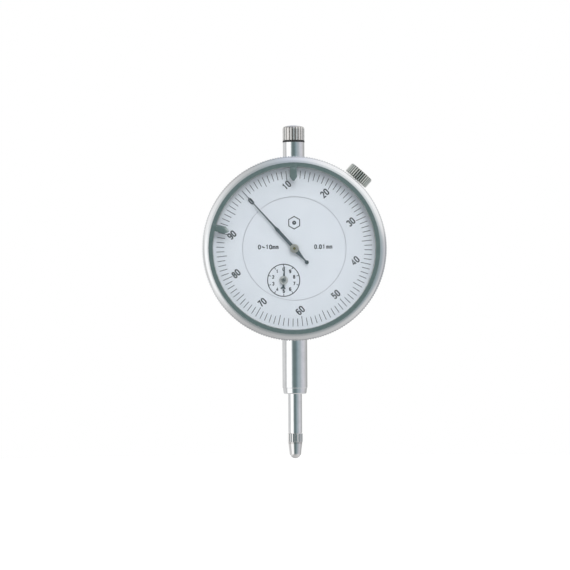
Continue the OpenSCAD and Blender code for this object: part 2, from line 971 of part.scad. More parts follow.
// The tail ends in a barbed arrowhead
module counter_pointer() {
    barb = [0.87, -2.72];
    color([0.25, 0.3, 0.33])
    at_dial()
    at_places([counter_pos])
    rotate([0, 0, -counter_angle])
    translate([0, 0, counter_pointer_z])
    difference() {
        union() {
            linear_extrude(counter_blade_h) polygon(both_sides([[0.35, 0], [0.12, 4.4]]));
            rod(1.2, 0, counter_blade_h);
            linear_extrude(counter_blade_h) polygon(both_sides([[0.3, 0], [0.3, -1.9], barb]));
        }
        rod(counter_sleeve_r + fit, -past, past);
        translate([0, -3.7, 0]) rod(1.05, -past, past);
    }
}

// Turned hub that holds the small pointer on the rack pinion's arbor
module counter_boss() {
    flange_back = counter_pointer_z + counter_blade_h;
    flange_front = flange_back + 0.2;
    color([0.62, 0.64, 0.64])
    at_dial()
    at_places([counter_pos])
    difference() {
        union() {
            rod(counter_sleeve_r, counter_pointer_z - 0.15, flange_back);
            rod(1.4, flange_back, flange_front);
            rod(0.78, flange_front, flange_front + 0.13);
        }
        rod(0.5 + fit, counter_pointer_z - past, counter_pointer_z + past);
    }
}

module centre_pinion() {
    color([0.78, 0.66, 0.36])
    at_dial() {
        rod(0.3, plate_back + 0.1, 3.45);
        translate([0, 0, 3.45])
            linear_extrude(1.15)
            polygon(
                gear_outline(
                    train_module, pinion_teeth, 1, 0.85, counter_direction + 180 / pinion_teeth
                )
            );
        rod(0.5, 4.6, main_pointer_z - 0.3);
        rod(0.45, main_pointer_z - 0.3, main_pointer_z + 0.8);
    }
}

// Outline that is the same on both sides of the y axis, from its right-hand points
function both_sides(points) = concat(
    points,
    [for (i = [len(points) - 1 : -1 : 0]) [-points[i][0], points[i][1]]]
);

module main_pointer() {
    blade_h = 0.22;
    needle = [[0.5, 0], [0.5, 7.4], [0.62, 8], [0.27, 9.3], [0.2, 16], [0.1, 23.5]];
    tail = [[0.9, -0.6], [0.45, -2.9], [0.25, -4.4], [0.25, -5.6]];
    color([0.24, 0.29, 0.32])
    at_dial()
    rotate([0, 0, -pointer_angle])
    translate([0, 0, main_pointer_z])
    difference() {
        union() {
            linear_extrude(blade_h) polygon(both_sides(needle));
            linear_extrude(blade_h) polygon(both_sides(tail));
            rod(1.3, 0, blade_h);
            translate([0, -5.9, 0]) rod(0.63, 0, blade_h);
        }
        rod(0.9 + fit, -past, past);
    }
}

// Turned boss that the main pointer is riveted to, pressed on the centre pinion
module pointer_boss() {
    color([0.66, 0.65, 0.62])
    at_dial()
    difference() {
        union() {
            rod(0.9, main_pointer_z - 0.3, main_pointer_z + 0.22);
            rod(1.4, main_pointer_z + 0.22, main_pointer_z + 0.55);
            rod(0.95, main_pointer_z + 0.55, main_pointer_z + 0.7);
        }
        rod(0.45 + fit, main_pointer_z - past, main_pointer_z + past);
    }
}

module takeup_arbor() {
    color([0.75, 0.76, 0.78])
    at_dial()
    at_places([takeup_pos]) {
        rod(0.3, plate_back + 0.1, 3.4);
        rod(0.6, 3.4, 4.35);
        rod(0.95, 4.35, 4.75);
        rod(0.3, 4.75, bridge_front - 0.1);
    }
}

module takeup_gear() {
    color([0.85, 0.7, 0.35])
    at_dial()
    at_places([takeup_pos]) wheel(takeup_direction + 180, 0.6 + fit);
}

// ---------- bezel clamp ----------

module clamp_shoe() {
    color([0.85, 0.65, 0.3])
    at_dial()
    outwards(clamp_angle, clamp_z) rod(clamp_bore_r - running, shoe_inner, shoe_outer);
}

module clamp_screw() {
    profile = [
        [0, shoe_outer + 0.01],
        [clamp_bore_r - running, shoe_outer + 0.01],
        [clamp_bore_r - running, knob_inner - 0.4],
        [2, knob_inner - 0.4],
        [2, knob_inner],
        [knob_r - 0.15, knob_inner],
        [knob_r, knob_inner + 0.15],
        [knob_r, knob_outer - 0.3],
        [knob_r - 0.3, knob_outer],
        [0, knob_outer]
    ];
    color([0.66, 0.67, 0.65])
    at_dial()
    outwards(clamp_angle, clamp_z)
    knurled(profile, knob_teeth, knob_r, 0.38, 0.3, shoe_outer, knob_outer);
}

case_body();
stem();
lower_bushing();
neck_sleeve();
upper_bushing();
stop_washer();
back_cover();
cover_screws();
movement_plate();
movement_screws();
movement_spacers();
bridge_pillars();
front_bridge();
bridge_screws();
rear_cock();
cock_pillars();
cock_screws();
arbor_bushes();
guide_rail();
rail_screws();
spring_post();
return_spring();
hairspring();
hairspring_stud();
inner_dial();
dial_feet();
bezel_spring_ring();
bezel();
scale_ring();
crystal();
crystal_ring();
tolerance_marker_a();
tolerance_marker_b();
spindle();
contact_point();
lifting_cap();
guide_pin();
rack_pinion();
drive_gear();
counter_pointer();
counter_boss();
centre_pinion();
main_pointer();
pointer_boss();
takeup_arbor();
takeup_gear();
clamp_shoe();
clamp_screw();
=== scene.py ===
import json
import math

import bmesh
import bpy
from mathutils import Matrix, Vector


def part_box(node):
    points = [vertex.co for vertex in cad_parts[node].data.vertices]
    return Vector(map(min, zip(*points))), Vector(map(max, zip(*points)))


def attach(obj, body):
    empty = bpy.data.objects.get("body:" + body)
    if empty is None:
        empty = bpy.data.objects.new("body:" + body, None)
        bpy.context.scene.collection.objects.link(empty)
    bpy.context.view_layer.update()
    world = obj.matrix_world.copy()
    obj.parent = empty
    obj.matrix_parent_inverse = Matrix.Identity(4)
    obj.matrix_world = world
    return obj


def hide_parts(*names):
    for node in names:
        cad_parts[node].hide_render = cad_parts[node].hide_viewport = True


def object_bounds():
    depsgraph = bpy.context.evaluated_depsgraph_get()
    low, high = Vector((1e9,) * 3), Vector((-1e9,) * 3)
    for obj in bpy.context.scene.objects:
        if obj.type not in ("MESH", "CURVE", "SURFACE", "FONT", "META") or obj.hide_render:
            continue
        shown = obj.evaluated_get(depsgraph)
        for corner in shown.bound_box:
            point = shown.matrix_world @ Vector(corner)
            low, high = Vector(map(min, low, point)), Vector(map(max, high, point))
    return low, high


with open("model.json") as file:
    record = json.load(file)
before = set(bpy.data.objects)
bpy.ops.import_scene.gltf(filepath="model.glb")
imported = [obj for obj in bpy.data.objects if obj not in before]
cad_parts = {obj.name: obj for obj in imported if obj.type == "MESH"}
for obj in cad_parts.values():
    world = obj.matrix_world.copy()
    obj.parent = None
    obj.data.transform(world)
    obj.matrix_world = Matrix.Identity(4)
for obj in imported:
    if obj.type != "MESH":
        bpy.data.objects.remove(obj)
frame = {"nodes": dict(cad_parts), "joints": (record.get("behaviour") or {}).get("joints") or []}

# A dial indicator. The CAD nodes keep their shapes and get their finishes here, but for the two
# tolerance markers, which are rebuilt as thin bent strips. This script also adds the printing on
# the two dials, the studio and the camera.

CAD_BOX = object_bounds()
MM = 0.001
JOINTS = {joint["name"]: joint for joint in frame["joints"]}


# ---------- places, from the frame ----------

def joint_place(name):
    return Vector(JOINTS[name]["pos_m"])


DIAL = joint_place("bezel_turn")
COUNTER = joint_place("counter_turn")
DIAL_FACE_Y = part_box("scale_ring")[0].y
RING_FRONT = -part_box("crystal_ring")[0].y / MM
ZERO_ANGLE = -41.9  # of the outer scale's zero, clockwise from the top


def marker_angle(node):
    """Where a marker stands, clockwise from the top."""
    low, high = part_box(node)
    middle = (low + high) / 2 - DIAL
    return math.degrees(math.atan2(middle.x, middle.z))


def dial_frame(centre, face_y):
    """Takes x to the right, y up and z towards the reader, in mm from a face, to the row frame."""
    turn = Matrix(((1, 0, 0), (0, 0, -1), (0, 1, 0))).to_4x4()
    return Matrix.Translation((centre.x, face_y, centre.z)) @ turn @ Matrix.Scale(MM, 4)


def clock(angle, radius):
    """The point at a radius and an angle clockwise from the top, in the dial's own plane."""
    return Vector((radius * math.sin(math.radians(angle)), radius * math.cos(math.radians(angle))))


# ---------- node trees ----------

def add(tree, kind, settings=None, **inputs):
    """A node with its settings and inputs. An input is a value, or a socket to link from."""
    node = tree.nodes.new(kind)
    for key, value in (settings or {}).items():
        setattr(node, key, value)
    for key, value in inputs.items():
        socket = node.inputs[int(key[1:])] if key[0] == "_" else node.inputs[key.replace("_", " ")]
        if isinstance(value, bpy.types.NodeSocket):
            tree.links.new(value, socket)
        else:
            socket.default_value = value
    return node


def math_node(tree, operation, *values):
    inputs = {f"_{i}": value for i, value in enumerate(values)}
    return add(tree, "ShaderNodeMath", {"operation": operation}, **inputs).outputs[0]


def vector_node(tree, operation, *vectors):
    """The outputs of a vector sum: its vector, then its value."""
    inputs = {f"_{i}": vector for i, vector in enumerate(vectors)}
    return add(tree, "ShaderNodeVectorMath", {"operation": operation}, **inputs).outputs


def ramp(tree, factor, stops):
    """A colour ramp from stops of (position, colour or grey)."""
    node = add(tree, "ShaderNodeValToRGB", Fac=factor)
    elements = node.color_ramp.elements
    while len(elements) < len(stops):
        elements.new(0.5)
    for element, (position, colour) in zip(elements, stops):
        element.position = position
        element.color = rgba(colour)
    return node.outputs["Color"]


def rgba(colour):
    return (*(colour if isinstance(colour, tuple) else (colour,) * 3), 1.0)


def mix_colour(tree, factor, first, second):
    node = tree.nodes.new("ShaderNodeMix")
    node.data_type = "RGBA"
    for socket, value in ((node.inputs[0], factor), (node.inputs[6], first), (node.inputs[7], second)):
        if isinstance(value, bpy.types.NodeSocket):
            tree.links.new(value, socket)
        else:
            socket.default_value = value if isinstance(value, float) else rgba(value)
    return node.outputs[2]


def noise(tree, vector, scale, detail=2.0, roughness=0.5):
    node = add(
        tree, "ShaderNodeTexNoise", Vector=vector, Scale=scale, Detail=detail, Roughness=roughness
    )
    return node.outputs["Fac"]


def between(tree, value, low, high):
    """Takes a value from 0 to 1 to the span from low to high."""
    node = add(tree, "ShaderNodeMapRange", Value=value, To_Min=low, To_Max=high)
    return node.outputs["Result"]


def millimetres(tree):
    """Object coordinates in millimetres, which stay with the piece as it moves."""
    place = add(tree, "ShaderNodeTexCoord").outputs["Object"]
    node = add(tree, "ShaderNodeVectorMath", {"operation": "SCALE"}, _0=place, Scale=1 / MM)
    return node.outputs[0]


def turned_about(tree, place, axis, centre=(0.0, 0.0, 0.0)):
    """The vector (radius, 0, height) about an axis, for lathe marks, then radius and height."""
    offset = vector_node(tree, "SUBTRACT", place, Vector(centre) / MM)[0]
    height = vector_node(tree, "DOT_PRODUCT", offset, axis)[1]
    length = vector_node(tree, "LENGTH", offset)[1]
    length_squared = math_node(tree, "MULTIPLY", length, length)
    height_squared = math_node(tree, "MULTIPLY", height, height)
    squared = math_node(tree, "SUBTRACT", length_squared, height_squared)
    radius = math_node(tree, "SQRT", math_node(tree, "MAXIMUM", squared, 0.0))
    return add(tree, "ShaderNodeCombineXYZ", X=radius, Z=height).outputs[0], radius, height


def new_material(name):
    material = bpy.data.materials.new(name)
    material.use_nodes = True
    tree = material.node_tree
    return material, tree, tree.nodes["Principled BSDF"]


def new_object(name, mesh, material):
    """An object made from a bmesh, with one material."""
    data = bpy.data.meshes.new(name)
    mesh.to_mesh(data)
    mesh.free()
    data.materials.append(material)
    piece = bpy.data.objects.new(name, data)
    bpy.context.scene.collection.objects.link(piece)
    return piece


def bump(tree, shader, height, strength, distance_mm):
    node = add(tree, "ShaderNodeBump", Height=height, Strength=strength, Distance=distance_mm * MM)
    tree.links.new(node.outputs["Normal"], shader.inputs["Normal"])


# ---------- finishes ----------

UP = (0.0, 0.0, 1.0)
OUT = (0.0, -1.0, 0.0)
NO_LIMIT = 1000.0  # mm, past every piece


def metal(name, colour, dull, roughness, axis=UP, centre=(0.0, 0.0, 0.0), marks=0.3, grain=0.0):
    """Metal with lathe marks round an axis, soft smears in its polish and a little tarnish.

    colour and dull are its clean and tarnished colours, roughness its least and most roughness,
    marks the depth of the lathe marks and grain that of an all-over satin grain, in micrometres.
    """
    material, tree, shader = new_material(name)
    shader.inputs["Metallic"].default_value = 1.0
    place = millimetres(tree)
    rings = turned_about(tree, place, axis, centre)[0]
    lathe = noise(tree, rings, 22.0, 3.0, 0.6)
    smear = noise(tree, place, 0.45, 4.0, 0.6)
    speck = noise(tree, place, 26.0, 2.0, 0.7)
    tarnish = math_node(tree, "MULTIPLY_ADD", speck, 0.3, math_node(tree, "MULTIPLY", smear, 0.7))
    tint = ramp(tree, tarnish, [(0.42, colour), (0.68, dull)])
    tree.links.new(tint, shader.inputs["Base Color"])
    rough = math_node(tree, "MULTIPLY_ADD", lathe, 0.35, math_node(tree, "MULTIPLY", smear, 0.65))
    tree.links.new(between(tree, rough, *roughness), shader.inputs["Roughness"])
    relief = math_node(tree, "MULTIPLY_ADD", lathe, marks, math_node(tree, "MULTIPLY", speck, grain))
    bump(tree, shader, relief, 1.0, 0.001)
    return material


def knurled_metal(
    name, colour, groove_shade_colour, roughness, axis, centre, outer_r, depth, floor_r=0.0, end=NO_LIMIT
):
    """Metal whose knurl's grooves are darkened by painted shade and dirt, by the distance from its axis.

    The painted shade and dirt thicken over the depth below outer_r. There is none inside floor_r or above
    the height end.
    """
    material, tree, shader = new_material(name)
    shader.inputs["Metallic"].default_value = 1.0
    place = millimetres(tree)
    rings, radius, height = turned_about(tree, place, axis, centre)
    low = math_node(tree, "DIVIDE", math_node(tree, "SUBTRACT", outer_r, radius), depth)
    in_knurl = math_node(tree, "MULTIPLY", math_node(tree, "GREATER_THAN", radius, floor_r),
                         math_node(tree, "LESS_THAN", height, end))
    groove = math_node(tree, "MULTIPLY", math_node(tree, "MINIMUM", low, 1.0), in_knurl)
    patchy = noise(tree, place, 3.0, 3.0, 0.6)
    # Painted shade with dirt: deep in the knurl the colour goes to the darker groove colour, standing in
    # for the shade there.
    groove_shade_and_dirt = math_node(tree, "MULTIPLY", groove, between(tree, patchy, 0.6, 1.2))
    speck = noise(tree, place, 20.0, 3.0, 0.6)
    clean = ramp(tree, speck, [(0.35, colour), (0.75, tuple(c * 0.86 for c in colour))])
    tree.links.new(mix_colour(tree, groove_shade_and_dirt, clean, groove_shade_colour), shader.inputs["Base Color"])
    lathe = noise(tree, rings, 16.0, 3.0, 0.6)
    tree.links.new(between(tree, lathe, *roughness), shader.inputs["Roughness"])
    bump(tree, shader, math_node(tree, "ADD", lathe, speck), 1.0, 0.0008)
    return material


def paint(name, colour, fade, roughness, grain_um, gap_shade_r=NO_LIMIT):
    """Sprayed paint with a fine orange-peel grain and slight colour drift, and painted shade beyond the
    radius given last, where the flange is seen down the gap round the inner dial.
    """
    material, tree, shader = new_material(name)
    place = millimetres(tree)
    drift = noise(tree, place, 0.12, 3.0, 0.55)
    grain = noise(tree, place, 18.0, 2.0, 0.6)
    shade = math_node(tree, "MULTIPLY_ADD", grain, 0.35, math_node(tree, "MULTIPLY", drift, 0.65))
    tint = ramp(tree, shade, [(0.3, colour), (0.7, fade)])
    radius = turned_about(tree, place, OUT, DIAL)[1]
    # Painted shade: beyond that radius the colour turns a darker grey, for the shade in the gap round the
    # inner dial.
    gap_shade = math_node(tree, "GREATER_THAN", radius, gap_shade_r)
    tree.links.new(mix_colour(tree, gap_shade, tint, (0.46, 0.46, 0.53)), shader.inputs["Base Color"])
    tree.links.new(between(tree, grain, *roughness), shader.inputs["Roughness"])
    bump(tree, shader, grain, 1.0, grain_um * MM)
    return material


def rubber(name):
    material, tree, shader = new_material(name)
    place = millimetres(tree)
    bloom = noise(tree, place, 1.6, 4.0, 0.6)
    pores = noise(tree, place, 14.0, 2.0, 0.5)
    tint = ramp(tree, bloom, [(0.3, (0.018, 0.018, 0.019)), (0.75, (0.05, 0.05, 0.052))])
    tree.links.new(tint, shader.inputs["Base Color"])
    tree.links.new(between(tree, pores, 0.5, 0.75), shader.inputs["Roughness"])
    bump(tree, shader, pores, 1.0, 0.01)
    return material


def clear_glass(name):
    """Clear pane that lets lamps through. A faint waviness in its surface bends highlights."""
    material, tree, shader = new_material(name)
    shader.inputs["Transmission Weight"].default_value = 1.0
    shader.inputs["IOR"].default_value = 1.49
    shader.inputs["Roughness"].default_value = 0.0
    shader.inputs["Base Color"].default_value = (0.985, 0.995, 0.99, 1.0)
    waviness = noise(tree, millimetres(tree), 0.2, 1.0, 0.4)
    bump(tree, shader, waviness, 0.3, 0.004)
    lamps = add(tree, "ShaderNodeBsdfTransparent", Color=(0.95, 0.965, 0.96, 1.0))
    shadow = add(tree, "ShaderNodeLightPath").outputs["Is Shadow Ray"]
    mixed = add(tree, "ShaderNodeMixShader", _0=shadow, _1=shader.outputs[0], _2=lamps.outputs[0])
    tree.links.new(mixed.outputs[0], tree.nodes["Material Output"].inputs["Surface"])
    return material


CLAMP_AXIS = tuple(JOINTS["clamp_turn"]["axis"])
CLAMP = joint_place("clamp_turn")
CHROME = (0.9, 0.91, 0.92)
CHROME_DULL = (0.8, 0.81, 0.82)
BRASS = (0.78, 0.6, 0.3)
BRASS_DULL = (0.55, 0.4, 0.18)
STEEL = (0.62, 0.62, 0.63)
STEEL_DULL = (0.42, 0.42, 0.43)

# Radii of the knurled pieces and of the inner dial inside its flange, from the frame, in mm
BEZEL_R = (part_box("bezel")[1].x - DIAL.x) / MM
BEZEL_KNURL_FRONT = -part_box("bezel")[0].y / MM - 1.45
CAP_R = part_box("lifting_cap")[1].x / MM
COLLAR_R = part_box("contact_point")[1].x / MM
KNOB_R = (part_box("clamp_screw")[1].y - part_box("clamp_screw")[0].y) / 2 / MM
DIAL_FLANGE = 0.5
INNER_DIAL_R = (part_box("inner_dial")[1].x - DIAL.x) / MM - DIAL_FLANGE

RING_NODES = ("crystal_ring", "tolerance_marker_a", "tolerance_marker_b")

# For a knurled finish, the second colour is that of the painted shade and dirt in its grooves.
FINISHES = {
    ("stem", "neck_sleeve", "spindle"): metal(
        "polished_chrome", CHROME, CHROME_DULL, (0.05, 0.13), marks=0.25
    ),
    ("bezel",): knurled_metal(
        "satin_chrome", (0.86, 0.87, 0.88), (0.58, 0.59, 0.6), (0.16, 0.28), OUT, DIAL,
        BEZEL_R + 0.1, 0.35, end=BEZEL_KNURL_FRONT
    ),
    ("case_body", "back_cover"): metal(
        "case_chrome", (0.86, 0.87, 0.88), (0.78, 0.79, 0.8), (0.16, 0.28), OUT, DIAL, 0.4, 0.6
    ),
    RING_NODES: metal(
        "dark_chrome", (0.8, 0.84, 0.83), (0.66, 0.74, 0.72), (0.1, 0.2), OUT, DIAL, 0.35, 0.1
    ),
    ("lifting_cap",): knurled_metal(
        "cap_nickel", (0.88, 0.86, 0.84), (0.3, 0.28, 0.26), (0.34, 0.45), UP, (0, 0, 0),
        CAP_R, 0.4, CAP_R - 0.5
    ),
    ("contact_point",): knurled_metal(
        "contact_nickel", (0.86, 0.85, 0.85), (0.62, 0.6, 0.59), (0.06, 0.14), UP, (0, 0, 0),
        COLLAR_R, 0.16, COLLAR_R - 0.2
    ),
    ("clamp_screw",): knurled_metal(
        "clamp_nickel", (0.95, 0.96, 0.91), (0.11, 0.11, 0.1), (0.3, 0.42), CLAMP_AXIS, CLAMP,
        KNOB_R, 0.3, KNOB_R - 0.42
    ),
    ("scale_ring",): paint("dial_paint", (0.8, 0.82, 0.88), (0.76, 0.785, 0.85), (0.42, 0.55), 0.0015),
    # Its flange, beyond the last radius, is painted darker as the shade in the gap round the inner dial.
    ("inner_dial",): paint(
        "inner_dial_paint", (0.8, 0.82, 0.88), (0.76, 0.785, 0.85), (0.42, 0.55), 0.0015,
        INNER_DIAL_R - 0.02
    ),
    ("main_pointer", "counter_pointer"): paint(
        "pointer_paint", (0.075, 0.1, 0.115), (0.1, 0.125, 0.14), (0.3, 0.45), 0.001
    ),
    ("pointer_boss",): metal(
        "pointer_boss", (0.62, 0.6, 0.56), (0.5, 0.48, 0.45), (0.25, 0.4), OUT, DIAL, 0.6, 0.4
    ),
    # Painted shade: the groove mask darkens the whole centre disc of the hub, within 0.86 mm of its axis.
    ("counter_boss",): knurled_metal(
        "counter_boss", (0.6, 0.61, 0.61), (0.3, 0.32, 0.32), (0.45, 0.58), OUT, COUNTER, 0.86, 0.1
    ),
    ("centre_pinion",): metal(
        "pinion_brass", (0.8, 0.68, 0.4), (0.5, 0.42, 0.22), (0.15, 0.3), OUT, DIAL, 0.5
    ),
    ("crystal",): clear_glass("crystal"),
    ("stop_washer",): rubber("rubber"),
    ("lower_bushing", "upper_bushing", "clamp_shoe"): metal(
        "bronze", (0.72, 0.5, 0.26), (0.5, 0.33, 0.16), (0.25, 0.4), marks=0.6
    ),
    ("drive_gear", "takeup_gear", "arbor_bushes"): metal(
        "gear_brass", BRASS, BRASS_DULL, (0.18, 0.32), OUT, DIAL, 0.4
    ),
    ("movement_plate", "front_bridge", "rear_cock", "guide_rail", "bridge_pillars", "cock_pillars",
     "movement_spacers", "spring_post", "hairspring_stud", "dial_feet"): metal(
        "plate_brass", BRASS, BRASS_DULL, (0.28, 0.42), OUT, DIAL, 0.3, 0.5
    ),
    ("cover_screws", "movement_screws", "bridge_screws", "cock_screws", "rail_screws", "guide_pin"): metal(
        "screw_steel", STEEL, STEEL_DULL, (0.2, 0.35), OUT, DIAL, 0.5, 0.2
    ),
    ("rack_pinion", "takeup_arbor"): metal(
        "arbor_steel", STEEL, STEEL_DULL, (0.12, 0.25), OUT, COUNTER, 0.4
    ),
    ("return_spring", "bezel_spring_ring"): metal(
        "spring_steel", (0.5, 0.5, 0.51), (0.3, 0.29, 0.28), (0.2, 0.35), UP, (0, 0, 0), 0.2, 0.4
    ),
    ("hairspring",): metal(
        "blued_steel", (0.16, 0.22, 0.45), (0.1, 0.13, 0.3), (0.18, 0.3), OUT, DIAL, 0.2, 0.3
    ),
}

for names, finish in FINISHES.items():
    for name in names:
        node = frame["nodes"][name]
        node.data.materials.clear()
        node.data.materials.append(finish)


# ---------- printing on the dials ----------

# Where the ink's back and front lie, in mm towards the reader from the dial's face
INK_BACK = -0.01
INK_FRONT = 0.025


def ink_material():
    """Screen-printed ink: near black, a little thin in places, with a faint gloss."""
    material, tree, shader = new_material("dial_ink")
    place = millimetres(tree)
    cover = noise(tree, place, 3.5, 3.0, 0.6)
    tint = ramp(tree, cover, [(0.3, (0.04, 0.045, 0.055)), (0.7, (0.07, 0.075, 0.087))])
    tree.links.new(tint, shader.inputs["Base Color"])
    tree.links.new(between(tree, cover, 0.4, 0.6), shader.inputs["Roughness"])
    bump(tree, shader, noise(tree, place, 12.0), 1.0, 0.002)
    return material


INK = ink_material()


def stroke(points, width, closed=False):
    """A pen stroke with mitred corners, as (pairs of edge points, whether it is a loop)."""
    points = [Vector(point) for point in points]
    count = len(points)
    pairs = []
    for i, point in enumerate(points):
        ways = []
        if closed or i > 0:
            ways.append((point - points[i - 1]).normalized())
        if closed or i < count - 1:
            ways.append((points[(i + 1) % count] - point).normalized())
        along = sum(ways, Vector((0, 0))).normalized()
        side = Vector((-along.y, along.x))
        reach = width / 2 / max(0.6, along.dot(ways[0]))
        pairs.append((point + side * reach, point - side * reach))
    return pairs, closed


def printed(name, centre, body, strokes):
    """One piece of printing: each stroke is a closed strip, a little proud of the dial's face."""
    mesh = bmesh.new()
    for pairs, closed in strokes:
        corners = [
            [mesh.verts.new((*point, z)) for point in pair for z in (INK_BACK, INK_FRONT)]
            for pair in pairs
        ]
        spans = list(zip(corners, corners[1:] + corners[:1] if closed else corners[1:]))
        for (lb, lf, rb, rf), (next_lb, next_lf, next_rb, next_rf) in spans:
            mesh.faces.new((lf, next_lf, next_rf, rf))
            mesh.faces.new((lb, rb, next_rb, next_lb))
            mesh.faces.new((lb, next_lb, next_lf, lf))
            mesh.faces.new((rb, rf, next_rf, next_rb))
        if not closed:
            for lb, lf, rb, rf in (corners[0], corners[-1]):
                mesh.faces.new((lb, lf, rf, rb))
    mesh.transform(dial_frame(centre, DIAL_FACE_Y))
    bmesh.ops.recalc_face_normals(mesh, faces=mesh.faces)
    piece = new_object(name, mesh, INK)
    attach(piece, body)


def arc(x, y, rx, ry, start, end, steps=12):
    """Points along an ellipse, with angles in degrees anticlockwise from the right."""
    angles = [math.radians(start + (end - start) * i / steps) for i in range(steps + 1)]
    return [(x + rx * math.cos(a), y + ry * math.sin(a)) for a in angles]


# Characters as centre lines: x from -1 to 1 and y from 0 to 1, (points, whether it is a loop)
SIX = arc(0, 0.74, 1, 0.26, 30, 180) + arc(0, 0.3, 1, 0.3, 180, 540, 20)
GLYPHS = {
    "0": [(arc(0, 0.72, 1, 0.28, 0, 180) + arc(0, 0.28, 1, 0.28, 180, 360), True)],
    "1": [([(-0.75, 0.78), (0.15, 1), (0.15, 0)], False)],
    "2": [(arc(0, 0.73, 1, 0.27, 170, -25) + [(-1, 0), (1.1, 0)], False)],
    "3": [(arc(0, 0.77, 0.95, 0.23, 165, -80), False), (arc(0, 0.28, 1, 0.28, 85, -165), False)],
    "4": [([(0.5, 0), (0.5, 1), (-1.1, 0.26), (1.2, 0.26)], False)],
    "5": [([(0.95, 1), (-0.75, 1), (-0.85, 0.52)] + arc(0, 0.32, 1, 0.32, 125, -160), False)],
    "6": [(SIX, False)],
    "7": [([(-1, 1), (1, 1), (-0.25, 0)], False)],
    "8": [(arc(0, 0.77, 0.88, 0.23, 0, 345, 23), True), (arc(0, 0.27, 1, 0.27, 0, 345, 23), True)],
    "9": [([(-x, 1 - y) for x, y in SIX], False)],
    "m": [
        ([(-1, 0), (-1, 0.7)], False),
        ([(-1, 0.45)] + arc(-0.5, 0.5, 0.5, 0.2, 150, 0, 8) + [(0, 0)], False),
        ([(0, 0.45)] + arc(0.5, 0.5, 0.5, 0.2, 150, 0, 8) + [(1, 0)], False),
    ],
    "~": [(arc(-0.5, 0.45, 0.5, 0.1, 180, 0, 8) + arc(0.5, 0.45, 0.5, 0.1, 180, 360, 8), False)],
    ".": [([(0, -0.05), (0, 0.1)], False)],
}
GLYPH_WIDTHS = {"m": 1.75, "~": 1.3, ".": 0.1}


def lettering(text, height, width, weight, place, gap):
    """Strokes of upright text centred on a place. width is that of a digit, gap the space between."""
    tall = height - weight
    half = (width - weight) / 2
    halves = [half * GLYPH_WIDTHS.get(character, 1.0) for character in text]
    total = sum(2 * h + weight for h in halves) + gap * (len(text) - 1)
    pen = place[0] - total / 2
    strokes = []
    for character, wide in zip(text, halves):
        middle = pen + wide + weight / 2
        for points, closed in GLYPHS[character]:
            line = [(middle + x * wide, place[1] + (y - 0.5) * tall) for x, y in points]
            strokes.append(stroke(line, weight, closed))
        pen += 2 * wide + weight + gap
    return strokes


def turned(strokes, angle):
    """The strokes turned clockwise about the dial's centre."""
    turn = Matrix.Rotation(math.radians(-angle), 2)
    return [
        ([(turn @ left, turn @ right) for left, right in pairs], closed) for pairs, closed in strokes
    ]


TICK_OUTER_R = 24.77
UNIT_TICK_R = 22.28
FIVE_TICK_R = 21.55
TICK_WIDTH = 0.2
NUMERAL_R = 20.0
NUMERALS_OFF_CENTRE = Vector((-0.07, 0.35))

printed(
    "scale_ticks", DIAL, "bezel",
    [
        stroke(
            [
                clock(ZERO_ANGLE + 3.6 * i, FIVE_TICK_R if i % 5 == 0 else UNIT_TICK_R),
                clock(ZERO_ANGLE + 3.6 * i, TICK_OUTER_R),
            ],
            TICK_WIDTH,
        )
        for i in range(100)
    ],
)
numerals = [
    mark
    for i in range(10)
    for mark in lettering(
        str(10 * i), 2.34, 1.24, 0.42, clock(36 * i, NUMERAL_R) + NUMERALS_OFF_CENTRE, 0.1
    )
]
printed("scale_numerals", DIAL, "bezel", turned(numerals, ZERO_ANGLE))
# The range and the step, as (text, digit width, weight, middle, gap) at one height and level
LEGEND_H = 1.5
LEGEND_Y = 0.53
LEGENDS = [
    ("0~10", 0.97, 0.33, -9.3, 0.15),
    ("mm", 0.64, 0.24, -5.98, 0.1),
    ("0.01", 0.92, 0.33, 8.05, 0.12),
    ("mm", 0.64, 0.24, 11.1, 0.1),
]
printed(
    "dial_legends", DIAL, "case",
    [
        mark
        for text, width, weight, x, gap in LEGENDS
        for mark in lettering(text, LEGEND_H, width, weight, (x, LEGEND_Y), gap)
    ],
)

COUNTER_R = 5.1
COUNTER_TICK = 0.8
COUNTER_DIGIT_R = 3.5

printed(
    "counter_scale", COUNTER, "case",
    [stroke([clock(5 * i, COUNTER_R) for i in range(72)], 0.29, True)]
    + [
        stroke([clock(36 * i, COUNTER_R - COUNTER_TICK), clock(36 * i, COUNTER_R)], 0.22)
        for i in range(10)
    ],
)
printed(
    "counter_digits", COUNTER, "case",
    [
        mark
        for i in range(10)
        for mark in lettering(str(i), 1.22, 0.76, 0.29, clock(-36 * i, COUNTER_DIGIT_R), 0.0)
    ],
)

# A plain hexagon round a dot
MARK = Vector((0, 8.2))
HEXAGON_R = 2.0
DOT_R = 0.4
printed(
    "maker_mark", DIAL, "case",
    [
        stroke([MARK + clock(60 * i, HEXAGON_R) for i in range(6)], 0.3, True),
        stroke([MARK + clock(30 * i, DOT_R) for i in range(12)], 0.5, True),
    ],
)


# ---------- tolerance markers ----------

BLADE_THICKNESS = 0.22
BLADE_BOW = 0.05  # of half its width
SHARP_EDGE = math.radians(40)


def marker_half_width(radius):
    """Half of the blade's width at a distance from the dial's centre: round tip, taper, straight."""
    tip_r, tip_centre, tip_end, tip_end_half = 0.5, 21.85, 21.57, 0.415
    shoulder, widest, foot_end, narrowest = 22.7, 1.17, 28, 1.05
    if radius < tip_end:
        return math.sqrt(tip_r ** 2 - (tip_centre - radius) ** 2)
    if radius < shoulder:
        return tip_end_half + (widest - tip_end_half) * (radius - tip_end) / (shoulder - tip_end)
    return widest + (narrowest - widest) * (radius - shoulder) / (foot_end - shoulder)


